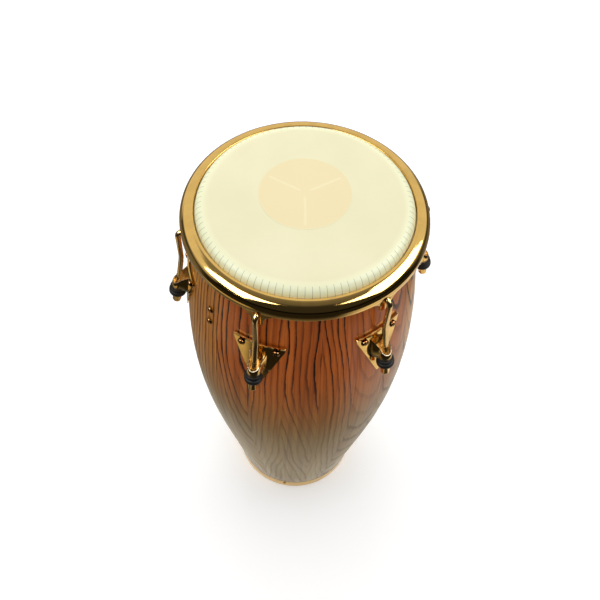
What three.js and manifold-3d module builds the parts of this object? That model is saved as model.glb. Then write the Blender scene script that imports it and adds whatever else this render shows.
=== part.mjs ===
// A conga drum: a barrel-shaped stave shell, open at the foot, with a synthetic head held down by
// a steel rim. Six hooks pull the rim down, each through a side plate bolted to the shell, and a
// nut under each side plate sets the tension. Millimetres, +Z up, standing on z = 0.
import * as THREE from "three";
import { mergeVertices } from "three/addons/utils/BufferGeometryUtils.js";
import Module from "manifold-3d";

const wasm = await Module();
wasm.setup();

// ---- Driving dimensions ----
const HEIGHT = 762; // floor to playing surface, 30 in
const FACETS = 48; // round every large turned piece
const GAP = 0.35; // left between pieces that touch
const INNER_GAP = 1; // behind the shell, whose inside is faceted
const STAVE = 10; // wall of the shell
const SHELL_STATIONS = [[0, 114.2], [180, 144.6], [370, 173.6], [560, 175.0], [740, 148.8]];
const NECK_Z = 735; // above this the shell's outside turns over into the bearing edge
const BEARING_EDGE = [[147.6, 747], [146.2, 753], [142.6, 757.9], [138, 760.4], [136.9, 757]];

const HEAD_R = 150; // outside of the head's collar
const HEAD_SHOULDER = 15.5; // radius of its rounded shoulder
const FILM = 0.6;
const FLANGE_Z = HEIGHT - 24; // underside of the film's flange, on the flesh hoop
const FLANGE_R = 158;
const HOOP_IN = 152.2; // inside of the flesh hoop
const HOOP_DEPTH = 6.6;

const RIM_R = 171.2; // outside of the rim
const RIM_IN = 151.2;
const RIM_WALL = 3.6;
const RIM_LOW = HEIGHT - 33; // lower edge of the rim
const EAR_HALF = 9.5; // half its width round the hole
const EAR_SWOOP = 34; // half its width where it meets the rim
const EAR_DROP = 27; // below the rim's lower edge
const EAR_OUT = 169.4;
const EAR_WALL = 3.6;
const EAR_HOLE_Z = HEIGHT - 38.8;
const EAR_HOLE_R = 5.7;

const LUGS = 6;
const FIRST_LUG = -30; // degrees from the front, -Y, towards +X
const ROD_R = 3.95; // 5/16 in rod
const HOOK_R = 175.5; // where the hook's upright hangs
const HOOK_BEND_Z = 668; // below this the rod leans out with the shell
const HOOK_CURL = 7.5; // radius of the curl through the ear
const CURL_DROP = 2; // from the lower edge of the hole to the middle of the curl
const LEAN = THREE.MathUtils.degToRad(9.5);
const SEAT_Z = 600; // underside of the bracket, where the nut bears
const SEAT_R = HOOK_R + (HOOK_BEND_Z - SEAT_Z) * Math.tan(LEAN);
const SEAT = 5; // thickness there
const ROD_END = 30; // below the seat
const NUT_END = 36;
const NUT_FLATS = 11.4;
const NUT_BORE = 4.6;

const PLATE = 2.5; // steel of the side plates and of the plates behind them
const PLATE_TOP = 650;
const PLATE_APEX = 549;
const PLATE_HALF = 38.5;
const PLATE_CORNER = 3;
const LIP = 1.3; // how far the top edge stands out
const BOLT_Z = 638;
const BOLT_ANGLE = THREE.MathUtils.degToRad(8.75); // either side of the lug
const BOLT_R = 3;
const BOLT_HEAD = 5.6;
const BOLT_HOLE = 3.5;
const BRACKET_TOP = 34; // above the seat's underside, at the plate
const BRACKET_NOSE = 9.6; // radius round the rod
const BRACKET_HALF = 13.5; // half its width at the plate
const BRACKET_WALL = 2.6;
const BRACKET_REACH = 14.2; // from the rod back to the plate
const SEAT_BORE = 4.8;
const BUMPER_R = 13;
const BUMPER_BORE = 7.3;
const BUMPER_FLAT = 11.8; // from the rod to the side that faces the shell
const BUMPER_LOW = 14;

const BAND_TOP = 25.4; // 1 in band round the foot
const BAND_LOW = 0.8;
const BAND_R = 114.9;
const BAND_FLARE = 0.07; // outward per unit of height
const BAND_WALL = 1.6;
const BAND_SCREWS = 4;
const BAND_SCREW_Z = 19;
const BAND_SCREW_FROM = -19; // degrees, as FIRST_LUG
const SCREW_R = 1.4;
const SCREW_HEAD = 2.8;
const SCREW_HOLE = 1.8;
const SCREW_LENGTH = 7.5;
const FOOT = 4.2; // thickness of the rubber ring under the staves

const BRACE_AZIMUTH = -60; // of the upright pair of bolts between two lugs
const BRACE_Z = 637;
const BRACE_SPACING = 25;

// ---- Materials ----
const material = (color, roughness, metalness) =>
  new THREE.MeshStandardMaterial({ color, roughness, metalness });
const WOOD = () => material(0x7a4420, 0.3, 0);
const GOLD = () => material(0xd9a752, 0.15, 1);
const FILM_CREAM = () => material(0xefead0, 0.5, 0);
const RUBBER = () => material(0x1b1a19, 0.7, 0);
const ZINC = () => material(0x9a9a98, 0.45, 1);

// ---- Solids ----
function solid(geometry) {
  const bare = geometry.clone();
  bare.deleteAttribute("normal");
  bare.deleteAttribute("uv");
  const merged = mergeVertices(bare, 1e-4);
  const mesh = new wasm.Mesh({
    numProp: 3,
    vertProperties: merged.attributes.position.array,
    triVerts: new Uint32Array(merged.index.array),
  });
  return new wasm.Manifold(mesh);
}

function geometryOf(made) {
  const { vertProperties, triVerts } = made.getMesh();
  const geometry = new THREE.BufferGeometry();
  geometry.setAttribute("position", new THREE.BufferAttribute(vertProperties, 3));
  geometry.setIndex(new THREE.BufferAttribute(triVerts, 1));
  geometry.computeVertexNormals();
  return geometry;
}

// A profile of [r, z] points, anticlockwise, turned about Z. It closes on itself unless it
// starts and ends on the axis.
function turned(profile, facets = FACETS) {
  const points = profile.map(([r, z]) => new THREE.Vector2(r, z));
  if (points[0].x > 0) points.push(points[0].clone());
  return new THREE.LatheGeometry(points, facets).rotateX(Math.PI / 2);
}

function extruded(shape, from, to, curveSegments = 6) {
  const settings = { depth: to - from, bevelEnabled: false, steps: 1, curveSegments };
  return new THREE.ExtrudeGeometry(shape, settings).translate(0, 0, from);
}

// An outline drawn across (y) and up (z), extruded outwards along X.
function outwards(shape, from, to) {
  const toLugFrame = new THREE.Matrix4().set(0, 0, 1, 0, 1, 0, 0, 0, 0, 1, 0, 0, 0, 0, 0, 1);
  return extruded(shape, from, to, 3).applyMatrix4(toLugFrame);
}

function outline(points) {
  return new THREE.Shape(points.map(([x, y]) => new THREE.Vector2(x, y)));
}

// ---- The shell's curve: the polynomial through its stations ----
function shellRadius(z) {
  return SHELL_STATIONS.reduce((sum, [zi, ri]) => {
    const others = SHELL_STATIONS.filter(([zj]) => zj !== zi);
    return sum + others.reduce((term, [zj]) => (term * (z - zj)) / (zi - zj), ri);
  }, 0);
}

// [r, z] points along the shell's curve, offset outwards, from one height to another.
function alongShell(from, to, offset, steps) {
  return Array.from({ length: steps + 1 }, (_, i) => {
    const z = from + ((to - from) * i) / steps;
    return [shellRadius(z) + offset, z];
  });
}

// ---- Frames ----

// Degrees from the front to the angle about Z that turns +X that way.
const heading = (azimuth) => THREE.MathUtils.degToRad(azimuth - 90);

// Puts a piece turned about its own Z on a wall at radius r and height z, pointing out of it.
function onWall(angle, r, z, slope) {
  const lift = Math.atan(-slope);
  const turn = new THREE.Matrix4().makeRotationZ(angle);
  const stand = new THREE.Matrix4().makeRotationY(Math.PI / 2 - lift);
  return turn.multiply(new THREE.Matrix4().makeTranslation(r, 0, z)).multiply(stand);
}

function onShell(angle, z) {
  return onWall(angle, shellRadius(z), z, (shellRadius(z + 1) - shellRadius(z - 1)) / 2);
}

// The rod's frame in a lug: origin on the seat, +Z up the rod, +X away from the shell.
const ROD_FRAME = new THREE.Matrix4().makeRotationY(-LEAN).setPosition(SEAT_R, 0, SEAT_Z);

function drill(place, radius, from, to) {
  const bit = new THREE.CylinderGeometry(radius, radius, to - from, 8).rotateX(Math.PI / 2);
  return solid(bit.translate(0, 0, (from + to) / 2).applyMatrix4(place));
}

const lugAngles = Array.from({ length: LUGS }, (_, i) => heading(FIRST_LUG + (360 / LUGS) * i));
const plateBolts = [-BOLT_ANGLE, BOLT_ANGLE].map((angle) => onShell(angle, BOLT_Z));
const braceBolts = [BRACE_SPACING / 2, -BRACE_SPACING / 2].map((dz) =>
  onShell(heading(BRACE_AZIMUTH), BRACE_Z + dz),
);
const bandScrews = Array.from({ length: BAND_SCREWS }, (_, i) => {
  const angle = heading(BAND_SCREW_FROM + (360 / BAND_SCREWS) * i);
  return onWall(angle, BAND_R + BAND_FLARE * BAND_SCREW_Z, BAND_SCREW_Z, BAND_FLARE);
});

// ---- Pieces on the axis ----
function shell() {
  const foot = FOOT + GAP;
  const rebate = (z) => BAND_R - BAND_WALL - GAP + BAND_FLARE * z;
  let wood = solid(
    turned([
      [rebate(foot), foot],
      [rebate(BAND_TOP), BAND_TOP],
      ...alongShell(BAND_TOP + GAP, NECK_Z, 0, 11),
      ...BEARING_EDGE,
      ...alongShell(NECK_Z, foot, -STAVE, 9),
    ]),
  );
  for (const angle of lugAngles) {
    const turn = new THREE.Matrix4().makeRotationZ(angle);
    for (const place of plateBolts) {
      wood = wood.subtract(drill(turn.clone().multiply(place), BOLT_HOLE, -STAVE - 6, 8));
    }
  }
  for (const place of braceBolts) {
    wood = wood.subtract(drill(place, BOLT_HOLE, -STAVE - 6, 8));
  }
  for (const place of bandScrews) {
    wood = wood.subtract(drill(place, SCREW_HOLE, -SCREW_LENGTH - 1, 4));
  }
  return geometryOf(wood);
}

// The head: flat film, a rounded shoulder, an upright collar and a flange held on the flesh hoop.
function headFilm() {
  const shoulder = (radius, from, to) =>
    [0, 1, 2, 3].map((i) => {
      const a = THREE.MathUtils.degToRad(from + ((to - from) * i) / 3);
      const centre = HEAD_R - HEAD_SHOULDER;
      return [centre + radius * Math.cos(a), HEIGHT - HEAD_SHOULDER + radius * Math.sin(a)];
    });
  return turned([
    [0, HEIGHT - FILM],
    ...shoulder(HEAD_SHOULDER - FILM, 90, 0),
    [HEAD_R - FILM, FLANGE_Z],
    [FLANGE_R, FLANGE_Z],
    [FLANGE_R, FLANGE_Z + FILM],
    [HEAD_R, FLANGE_Z + FILM],
    ...shoulder(HEAD_SHOULDER, 0, 90),
    [0, HEIGHT],
  ]);
}

function fleshHoop() {
  const high = FLANGE_Z - GAP;
  const low = high - HOOP_DEPTH;
  const outer = FLANGE_R + 0.5;
  return turned([[HOOP_IN, low], [outer, low], [outer, high], [HOOP_IN, high]]);
}

// The rim: a comfort-curve hoop of formed steel. Its inner edge stands on the head's flange, its
// crown rolls outwards, and its skirt carries an ear for each hook.
function rim() {
  const foot = FLANGE_Z + FILM + GAP;
  const skirt = RIM_R - RIM_WALL;
  const hoop = turned([
    [RIM_IN + 3.2, foot],
    [RIM_IN + 3.4, foot + 8.4],
    [158.2, foot + 8.9],
    [164.2, foot + 4.6],
    [skirt, RIM_LOW + 6],
    [skirt, RIM_LOW],
    [RIM_R, RIM_LOW],
    [RIM_R, RIM_LOW + 9],
    [169.6, RIM_LOW + 15],
    [164.2, RIM_LOW + 20.9],
    [156.6, RIM_LOW + 23],
    [RIM_IN + 0.9, RIM_LOW + 22.7],
    [RIM_IN, RIM_LOW + 20.6],
    [RIM_IN, foot],
  ]);
  const ear = new THREE.Shape();
  const low = RIM_LOW - EAR_DROP;
  const waist = RIM_LOW - 17;
  const high = RIM_LOW + 5;
  ear.moveTo(-EAR_SWOOP, high);
  ear.lineTo(-EAR_SWOOP, RIM_LOW + 1);
  ear.quadraticCurveTo(-12, RIM_LOW - 5, -EAR_HALF, waist);
  ear.lineTo(-EAR_HALF, low + 3);
  ear.quadraticCurveTo(-EAR_HALF, low, -EAR_HALF + 3, low);
  ear.lineTo(EAR_HALF - 3, low);
  ear.quadraticCurveTo(EAR_HALF, low, EAR_HALF, low + 3);
  ear.lineTo(EAR_HALF, waist);
  ear.quadraticCurveTo(12, RIM_LOW - 5, EAR_SWOOP, RIM_LOW + 1);
  ear.lineTo(EAR_SWOOP, high);
  const wall = turned([
    [EAR_OUT - EAR_WALL, low - 1],
    [EAR_OUT, low - 1],
    [EAR_OUT, high + 1],
    [EAR_OUT - EAR_WALL, high + 1],
  ]);
  const hole = new THREE.CylinderGeometry(EAR_HOLE_R, EAR_HOLE_R, 20, 12)
    .rotateZ(Math.PI / 2)
    .translate(EAR_OUT, 0, EAR_HOLE_Z);
  const tab = solid(wall).intersect(solid(outwards(ear, 150, 185))).subtract(solid(hole));
  let made = solid(hoop);
  for (const angle of lugAngles) {
    made = made.add(tab.transform(new THREE.Matrix4().makeRotationZ(angle).elements));
  }
  return geometryOf(made);
}

function band() {
  const outer = (z) => BAND_R + BAND_FLARE * z;
  let metal = solid(
    turned([
      [outer(BAND_LOW) - BAND_WALL, BAND_LOW],
      [outer(BAND_LOW), BAND_LOW],
      [outer(BAND_TOP), BAND_TOP],
      [outer(BAND_TOP) - BAND_WALL, BAND_TOP],
    ]),
  );
  for (const place of bandScrews) metal = metal.subtract(drill(place, SCREW_HOLE, -5, 4));
  return geometryOf(metal);
}

function footRing() {
  const outer = BAND_R - BAND_WALL - GAP;
  const inner = shellRadius(0) - STAVE + 0.6;
  return turned([[inner, 0], [outer - 0.6, 0], [outer, 0.8], [outer, FOOT], [inner, FOOT]]);
}

// ---- Pieces of a lug, in its own frame: +X outwards, +Z up ----
function platesAround(offset, from, to, top = []) {
  return solid(
    turned([...alongShell(from, to, offset + PLATE, 3), ...top, ...alongShell(to, from, offset, 3)]),
  );
}

// A triangular plate that follows the shell, with a raised lip along its top edge and a bracket:
// a pocket, open at the top, whose floor is the seat that the nut pulls against.
function sidePlate() {
  const lip = shellRadius(PLATE_TOP) + GAP + PLATE + LIP;
  const ring = platesAround(GAP, PLATE_APEX - 2, PLATE_TOP - 3, [
    [lip + 0.4, PLATE_TOP - 2.8],
    [lip, PLATE_TOP],
    [shellRadius(PLATE_TOP) + GAP, PLATE_TOP],
  ]);
  const half = [
    [PLATE_CORNER, PLATE_APEX + 1],
    [PLATE_HALF - PLATE_CORNER / 2, PLATE_TOP - 2 * PLATE_CORNER],
    [PLATE_HALF, PLATE_TOP - PLATE_CORNER],
    [PLATE_HALF, PLATE_TOP + 2],
  ];
  const otherHalf = half.map(([y, z]) => [-y, z]).reverse();
  const sheet = outline([...otherHalf, [0, PLATE_APEX], ...half]);
  const pocket = (radius, half, reach, from, to) => {
    const shape = new THREE.Shape();
    shape.moveTo(-reach, -half);
    shape.absarc(0, 0, radius, -1.8, 1.8, false);
    shape.lineTo(-reach, half);
    return solid(extruded(shape, from, to, 4));
  };
  const above = outline([[-12, BRACKET_TOP], [12, 7], [12, 60], [-12, 60]]);
  const slope = extruded(above, -20, 20).rotateX(Math.PI / 2);
  const bore = new THREE.CylinderGeometry(SEAT_BORE, SEAT_BORE, 20, 16).rotateX(Math.PI / 2);
  const inner = [BRACKET_NOSE - BRACKET_WALL, BRACKET_HALF - BRACKET_WALL, BRACKET_REACH + 6];
  const bracket = pocket(BRACKET_NOSE, BRACKET_HALF, BRACKET_REACH, 0, BRACKET_TOP)
    .subtract(pocket(...inner, SEAT, BRACKET_TOP + 5))
    .subtract(solid(slope))
    .subtract(solid(bore))
    .transform(ROD_FRAME.elements);
  let made = ring.intersect(solid(outwards(sheet, 140, 200))).add(bracket);
  for (const place of plateBolts) made = made.subtract(drill(place, BOLT_HOLE, -6, 12));
  return geometryOf(made);
}

function backingPlate() {
  const strip = outline([[-37, BOLT_Z - 15], [37, BOLT_Z - 15], [37, BOLT_Z + 11], [-37, BOLT_Z + 11]]);
  let made = platesAround(-STAVE - INNER_GAP - PLATE, BOLT_Z - 20, BOLT_Z + 20);
  made = made.intersect(solid(outwards(strip, 130, 200)));
  for (const place of plateBolts) made = made.subtract(drill(place, BOLT_HOLE, -24, 0));
  return geometryOf(made);
}

// A domed bolt, turned about its own Z with the wall's surface at z = 0.
function bolt(shank, head, seat, length) {
  const rise = head * 0.6;
  const profile = [
    [0, -length],
    [shank, -length],
    [shank, seat],
    [head, seat],
    [head, seat + rise * 0.3],
    [head * 0.6, seat + rise * 0.9],
    [0, seat + rise],
  ];
  return turned(profile, 8);
}

// The curve that a rod follows, given as its own points, so that a sweep keeps each one.
class Route extends THREE.Curve {
  constructor(points) {
    super();
    this.points = points;
  }

  getPoint(t) {
    const at = t * (this.points.length - 1);
    const i = Math.min(Math.floor(at), this.points.length - 2);
    return this.points[i].clone().lerp(this.points[i + 1], at - i);
  }

  getPointAt(t) {
    return this.getPoint(t);
  }

  getTangentAt(t) {
    const step = 0.5 / (this.points.length - 1);
    return this.getPoint(Math.min(t + step, 1)).sub(this.getPoint(Math.max(t - step, 0))).normalize();
  }
}

// A hook: a rod that leans with the shell through its bracket, straightens below the rim and
// curls inwards over the lower edge of the ear's hole.
function hook() {
  const along = (w) => new THREE.Vector3(0, 0, w).applyMatrix4(ROD_FRAME);
  const bend = (HOOK_BEND_Z - SEAT_Z) / Math.cos(LEAN);
  const curlZ = EAR_HOLE_Z - EAR_HOLE_R - CURL_DROP;
  const points = [along(-ROD_END), along(0), along(bend - 8), along(bend - 3)];
  points.push(new THREE.Vector3(HOOK_R, 0, HOOK_BEND_Z + 4));
  for (const turn of [0, 22, 45, 67, 90, 112, 135, 158]) {
    const a = THREE.MathUtils.degToRad(turn);
    const x = HOOK_R - HOOK_CURL + HOOK_CURL * Math.cos(a);
    points.push(new THREE.Vector3(x, 0, curlZ + HOOK_CURL * Math.sin(a)));
  }
  const section = new THREE.Shape().absarc(0, 0, ROD_R, 0, 2 * Math.PI, false);
  return new THREE.ExtrudeGeometry(section, {
    steps: points.length - 1,
    curveSegments: 5,
    extrudePath: new Route(points),
  });
}

function nut() {
  const corner = NUT_FLATS / 2 / Math.cos(Math.PI / 6);
  const hexagon = Array.from({ length: 6 }, (_, i) => {
    const a = (i * Math.PI) / 3;
    return [corner * Math.cos(a), corner * Math.sin(a)];
  });
  const shape = outline(hexagon);
  shape.holes.push(new THREE.Path().absarc(0, 0, NUT_BORE, 0, 2 * Math.PI, true));
  return extruded(shape, -NUT_END, -GAP, 8).applyMatrix4(ROD_FRAME);
}

// A rubber bumper that fits round the nut, flat on the side towards the shell.
function bumper() {
  const ring = turned(
    [
      [BUMPER_BORE, -BUMPER_LOW],
      [BUMPER_R - 1.8, -BUMPER_LOW],
      [BUMPER_R, -BUMPER_LOW + 2.4],
      [BUMPER_R, -GAP - 2],
      [BUMPER_R - 1.6, -GAP],
      [BUMPER_BORE, -GAP],
    ],
    14,
  );
  const shellSide = new THREE.BoxGeometry(10, 40, 40).translate(-BUMPER_FLAT - 5, 0, 0);
  return geometryOf(solid(ring).subtract(solid(shellSide)).transform(ROD_FRAME.elements));
}

function bracePlate() {
  const half = BRACE_SPACING / 2 + 10;
  const strip = outline([
    [-10, BRACE_Z - half],
    [10, BRACE_Z - half],
    [10, BRACE_Z + half],
    [-10, BRACE_Z + half],
  ]);
  const turn = new THREE.Matrix4().makeRotationZ(heading(BRACE_AZIMUTH));
  let made = platesAround(-STAVE - INNER_GAP - PLATE, BRACE_Z - half - 4, BRACE_Z + half + 4)
    .intersect(solid(outwards(strip, 130, 200).applyMatrix4(turn)));
  for (const place of braceBolts) made = made.subtract(drill(place, BOLT_HOLE, -24, 0));
  return geometryOf(made);
}

// ---- Assembly ----
const drum = new THREE.Group();

function put(parent, name, geometry, look, matrix) {
  const mesh = new THREE.Mesh(geometry, look);
  mesh.name = name;
  if (matrix) mesh.applyMatrix4(matrix);
  parent.add(mesh);
}

put(drum, "shell", shell(), WOOD());
put(drum, "head_film", headFilm(), FILM_CREAM());
put(drum, "flesh_hoop", fleshHoop(), ZINC());
put(drum, "rim", rim(), GOLD());
put(drum, "foot_band", band(), GOLD());
put(drum, "foot_ring", footRing(), RUBBER());
put(drum, "brace_plate", bracePlate(), ZINC());

const behind = STAVE + INNER_GAP + PLATE + 3; // how far a bolt reaches in from the shell's surface
const plateBolt = bolt(BOLT_R, BOLT_HEAD, GAP + PLATE + GAP, behind);
const braceBolt = bolt(BOLT_R, BOLT_HEAD, GAP, behind);
const bandScrew = bolt(SCREW_R, SCREW_HEAD, GAP, SCREW_LENGTH);
braceBolts.forEach((at, i) => put(drum, `brace_bolt_${i + 1}`, braceBolt, GOLD(), at));
bandScrews.forEach((at, i) => put(drum, `band_screw_${i + 1}`, bandScrew, GOLD(), at));

const lugPieces = [
  ["side_plate", sidePlate(), GOLD],
  ["backing_plate", backingPlate(), ZINC],
  ["hook", hook(), GOLD],
  ["nut", nut(), GOLD],
  ["bumper", bumper(), RUBBER],
];
lugAngles.forEach((angle, i) => {
  const lug = new THREE.Group();
  lug.rotation.z = angle;
  drum.add(lug);
  for (const [name, geometry, look] of lugPieces) put(lug, `${name}_${i + 1}`, geometry, look());
  put(lug, `plate_bolt_${i + 1}_left`, plateBolt, GOLD(), plateBolts[0]);
  put(lug, `plate_bolt_${i + 1}_right`, plateBolt, GOLD(), plateBolts[1]);
});

export default drum;
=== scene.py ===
"""Looks for the conga drum: staved and lacquered shell, film head, gold plated hardware."""

import math

import bmesh
import bpy
from mathutils import Matrix, Vector
from mathutils.geometry import delaunay_2d_cdt


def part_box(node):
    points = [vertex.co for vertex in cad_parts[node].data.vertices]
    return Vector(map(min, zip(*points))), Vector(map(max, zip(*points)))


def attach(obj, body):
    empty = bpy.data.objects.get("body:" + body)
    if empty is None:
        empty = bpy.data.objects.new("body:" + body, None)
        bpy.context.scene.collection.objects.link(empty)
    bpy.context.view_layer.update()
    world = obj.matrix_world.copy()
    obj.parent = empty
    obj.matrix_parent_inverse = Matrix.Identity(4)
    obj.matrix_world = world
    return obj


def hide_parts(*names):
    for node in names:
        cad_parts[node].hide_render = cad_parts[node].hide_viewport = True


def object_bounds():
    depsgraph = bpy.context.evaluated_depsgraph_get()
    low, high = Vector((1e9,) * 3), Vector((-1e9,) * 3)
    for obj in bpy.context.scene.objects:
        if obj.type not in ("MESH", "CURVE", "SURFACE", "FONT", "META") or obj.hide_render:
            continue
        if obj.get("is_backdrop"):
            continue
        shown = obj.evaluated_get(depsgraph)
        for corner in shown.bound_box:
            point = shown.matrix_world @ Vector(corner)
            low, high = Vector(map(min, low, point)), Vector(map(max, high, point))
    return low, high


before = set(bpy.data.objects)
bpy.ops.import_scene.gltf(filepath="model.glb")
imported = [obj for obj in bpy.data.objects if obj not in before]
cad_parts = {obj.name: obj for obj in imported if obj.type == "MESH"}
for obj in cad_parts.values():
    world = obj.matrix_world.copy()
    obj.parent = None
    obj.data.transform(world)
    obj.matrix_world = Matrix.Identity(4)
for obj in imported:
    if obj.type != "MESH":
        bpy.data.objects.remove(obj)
cad_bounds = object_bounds()

# ---- Sizes, in millimetres; pieces are scaled to metres as their meshes are made ----
MM = 0.001


def cad_box(node):
    """Lowest and highest corner of a CAD node, in millimetres."""
    return [Vector(corner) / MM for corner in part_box(node)]


HEIGHT = cad_box("head_film")[1].z  # playing surface
SHELL_TOP = cad_box("shell")[1].z
RIM_R = cad_box("rim")[1].y
RIM_LOW = HEIGHT - 33  # lower edge of the rim, above its ears
FOOT = cad_box("foot_ring")[1].z
BAND_LOW, BAND_TOP = (corner.z for corner in cad_box("foot_band"))

GAP = 0.35  # clearance between pieces that don't touch
STAVES = 20
STAVE = 10  # wall of the shell
SHELL_STATIONS = [(0, 114.2), (180, 144.6), (370, 173.6), (560, 175.0), (740, 148.8)]
NECK_Z = 735  # the shell's curve ends here and the bearing edge begins
BEARING_EDGE = [
    (147.6, 747),
    (146.9, 750),
    (146.2, 753),
    (144.9, 755.9),
    (142.6, 757.9),
    (140.2, 759.4),
    (138, 760.2),
]
LIP_IN = 3.1  # how far the shell's inside draws in above its neck
SEAM = 0.05  # half the gap between staves, outside
JOINT = 0.001  # the same, inside
BROKEN_EDGE = 0.22  # how far a stave's long edges are eased

HEAD_R = 150
HEAD_SHOULDER = 15.5
FILM = 0.6
FLANGE_Z = HEIGHT - 24  # the film turns out here, under the rim
FLANGE_R = 158
PLEATS = 98
DISC_R = 64.3  # thin disc on the head, a little behind the middle
DISC_RISE = 0.25
DISC_MIDDLE = Vector((1.5, 14, HEIGHT))
DISC_RIDGES = (-9, 111, 231)  # degrees from the front, -Y, towards +X

RIM_IN = 151.2  # inner radius
RIM_WALL = 3.6
EAR_R = 169.4
EAR_WALL = 3.6
EAR_HOLE_Z = HEIGHT - 38.8
EAR_HOLE_R = 5.7
EAR_HALF = 9.4  # half-width beside the hole
EAR_SWOOP = 34  # half-width where an ear runs into the rim

LUGS = 6
FIRST_LUG = -30  # degrees from the front, -Y, towards +X
ROD_R = 3.95
THREAD_PITCH = 25.4 / 18
HOOK_R = 175.5
HOOK_BEND_Z = 668
HOOK_BEND = 10  # half the length over which a rod bends upright
HOOK_CURL = 7.5  # radius of the curl through an ear
HOOK_TURN = 158  # degrees of curl
CURL_Z = EAR_HOLE_Z - EAR_HOLE_R - 2
LEAN = math.radians(9.5)  # a rod leans out at its foot
SEAT_Z = 600
SEAT_R = HOOK_R + (HOOK_BEND_Z - SEAT_Z) * math.tan(LEAN)
SEAT = 5  # thickness of a pocket's floor
ROD_END = 30  # along the rod, below the seat
NUT_END = 36
NUT_FLATS = 11.4
NUT_BORE = 4.6
NUT_COLLAR = 6.9
THREADED_TO = 24  # the hook's thread ends here, along the rod from the seat
THREAD_DEPTH = 0.42

PLATE = 2.5
PLATE_TOP = 650
PLATE_APEX = 549
PLATE_HALF = 38.5
BOLT_Z = 638
BOLT_ANGLE = 8.75
BOLT_R = 3
BOLT_HEAD = 5.6
BOLT_SOCKET = 2.3
BOLT_HOLE = 3.4
BOLT_DEPTH = STAVE + 1 + PLATE + 3
LIP = 1.3  # how far a side plate's top edge rolls out
LIP_DEPTH = 4.5
POCKET_NOSE = 9.6
POCKET_HALF = 13.5
POCKET_REACH = 14.2  # from the rod back to the plate
POCKET_HEIGHT = 34
SEAT_HOLE = 4.8
BUMPER_R = 13
BUMPER_LOW = 14  # along the rod, below the seat
BUMPER_BORE = 7.3
BUMPER_FLAT = 12.6  # its back is cut flat this far from the rod

BAND_R = 114.9
BAND_FLARE = 0.07
BAND_WALL = 1.6
BAND_SCREWS = 4
BAND_SCREW_Z = 19
BAND_SCREW_FROM = -19
BAND_SCREW_R = 1.4
BAND_SCREW_HEAD = 2.8
BAND_SCREW_SOCKET = 1.1
BAND_SCREW_DEPTH = 7.5

BRACE_AZIMUTH = -60  # a pair of bolts between two lugs
BRACE_Z = 637
BRACE_SPACING = 25

FACETS = 192  # round every large turned piece

# ---- Camera: a 36 mm wide sensor, placed in metres and degrees about the drum's axis ----
CAMERA_LENS = 46.58
CAMERA_AZIMUTH = -11.0
CAMERA_REACH = 0.6905
CAMERA_HEIGHT = 1.5524
CAMERA_PITCH = 56.17
CAMERA_YAW = -0.13
CAMERA_ROLL = 2.6


# ---- Mesh making ----
class Surface:
    """Points and faces gathered from several grids and sheets, then made into one mesh."""

    def __init__(self):
        self.points = []
        self.faces = []
        self.values = {}

    def add(self, points, faces, **values):
        start = len(self.points)
        self.points += points
        self.faces += [[start + i for i in face] for face in faces]
        for name, numbers in values.items():
            self.values.setdefault(name, {}).update(enumerate(numbers, start))

    def grid(self, rows, ring=False, loop=False, **values):
        """Quads between rows of points. ring joins each row's ends, loop joins last row to first."""
        width, height = len(rows[0]), len(rows)
        faces = []
        for i in range(height if loop else height - 1):
            below, above = i * width, (i + 1) % height * width
            for j in range(width if ring else width - 1):
                k = (j + 1) % width
                faces.append([below + j, below + k, above + k, above + j])
        flat = {name: [v for row in grid for v in row] for name, grid in values.items()}
        self.add([point for row in rows for point in row], faces, **flat)

    def placed(self, matrix):
        self.points = [matrix @ Vector(point) for point in self.points]
        return self

    def join(self, other):
        start = len(self.points)
        self.add(other.points, other.faces)
        for name, numbers in other.values.items():
            self.values.setdefault(name, {}).update({start + i: v for i, v in numbers.items()})
        return self

    def mesh(self, name):
        bm = bmesh.new()
        layers = {
            key: bm.verts.layers.float_vector.new(key)
            if isinstance(next(iter(numbers.values())), Vector)
            else bm.verts.layers.float.new(key)
            for key, numbers in self.values.items()
        }
        verts = [bm.verts.new(Vector(point) * MM) for point in self.points]
        for key, layer in layers.items():
            for i, number in self.values[key].items():
                verts[i][layer] = number
        for face in self.faces:
            bm.faces.new([verts[i] for i in face])
        bmesh.ops.remove_doubles(bm, verts=bm.verts, dist=1e-7)
        bmesh.ops.dissolve_degenerate(bm, edges=bm.edges, dist=1e-7)
        bmesh.ops.recalc_face_normals(bm, faces=bm.faces)
        mesh = bpy.data.meshes.new(name)
        bm.to_mesh(mesh)
        bm.free()
        return mesh


def arc(centre, radius, start, end, steps):
    """Points round a centre, from one angle to another, in degrees."""
    angles = [math.radians(start + (end - start) * i / steps) for i in range(steps + 1)]
    return [(centre[0] + radius * math.cos(a), centre[1] + radius * math.sin(a)) for a in angles]


def rounded(points, radius, steps=4):
    """A closed outline with its corners turned into arcs. radius is one number, or one for each."""
    out = []
    for i, corner in enumerate(points):
        p = Vector(corner)
        wanted = radius[i] if isinstance(radius, list) else radius
        back, ahead = Vector(points[i - 1]) - p, Vector(points[(i + 1) % len(points)]) - p
        half = back.angle(ahead) / 2
        cut = min(wanted / math.tan(half), 0.45 * back.length, 0.45 * ahead.length)
        if half > math.radians(88) or cut < 1e-3:
            out.append(tuple(p))
            continue
        back, ahead = back.normalized(), ahead.normalized()
        centre = p + (back + ahead).normalized() * (cut / math.cos(half))
        first, last = p + back * cut - centre, p + ahead * cut - centre
        sweep = first.angle(last)
        for j in range(steps + 1):
            t = j / steps
            a, b = math.sin((1 - t) * sweep), math.sin(t * sweep)
            out.append(tuple(centre + (first * a + last * b) / math.sin(sweep)))
    return out


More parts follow.
